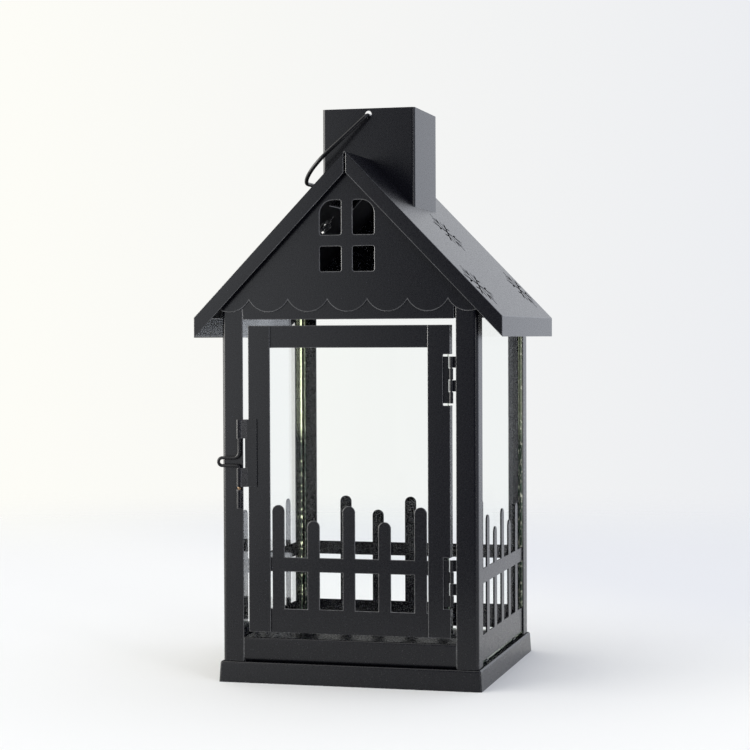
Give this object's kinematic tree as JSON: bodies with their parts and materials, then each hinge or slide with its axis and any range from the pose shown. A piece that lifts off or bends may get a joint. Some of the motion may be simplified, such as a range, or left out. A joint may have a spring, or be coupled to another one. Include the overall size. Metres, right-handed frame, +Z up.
{
  "type": "candle lantern",
  "caption": "House-shaped sheet-metal candle lantern: glazed walls behind picket fences, hinged glazed door with a wire bolt, pierced gable roof, open chimney and a wire carrying bail.",
  "frame": {"origin": "centre of the base rim, on the plane that the lantern stands on", "axes": "+Z up through the chimney, -Y out of the door, +X to the hinge side"},
  "size_m": [0.1576, 0.1408, 0.2904],
  "materials": {
    "black_coat": "satin black powder coat on sheet steel",
    "coated_wire": "satin black coat on round steel wire",
    "clear_glass": "clear float glass with ground edges"
  },
  "bodies": {
    "lantern_body": {"base_tray": "black_coat", "post_front_left": "black_coat", "post_front_right": "black_coat", "post_back_right": "black_coat", "post_back_left": "black_coat", "front_sill": "black_coat", "front_header": "black_coat", "right_header": "black_coat", "back_header": "black_coat", "left_header": "black_coat", "fence_right": "black_coat", "fence_back": "black_coat", "fence_left": "black_coat", "glass_clips": "black_coat", "gable_front": "black_coat", "gable_back": "black_coat", "roof_shell": "black_coat", "chimney": "black_coat", "upper_hinge_post_leaf": "black_coat", "lower_hinge_post_leaf": "black_coat", "upper_hinge_pin": "black_coat", "lower_hinge_pin": "black_coat", "latch_keeper": "black_coat", "glass_right": "clear_glass", "glass_back": "clear_glass", "glass_left": "clear_glass"},
    "door": {"door_stile_left": "black_coat", "door_stile_right": "black_coat", "door_top_rail": "black_coat", "door_fence": "black_coat", "door_glass_clips": "black_coat", "upper_hinge_door_leaf": "black_coat", "lower_hinge_door_leaf": "black_coat", "latch_plate": "black_coat", "door_glass": "clear_glass"},
    "latch_bolt": {"latch_bolt": "coated_wire"},
    "bail": {"bail": "coated_wire"}
  },
  "joints": [
    {"name": "door_swing", "type": "hinge", "parent": "lantern_body", "child": "door", "pos_m": [0.0524, -0.06565, 0.10225], "axis": [0, 0, 1], "range_deg": [0, 120]},
    {"name": "bolt_lift", "type": "slide", "parent": "door", "child": "latch_bolt", "axis": [0, 0, 1], "range_m": [0, 0.0065]},
    {"name": "bail_swing", "type": "hinge", "parent": "lantern_body", "child": "bail", "pos_m": [0, 0, 0.28671], "axis": [0, 1, 0], "range_deg": [-12, 280]}
  ]
}
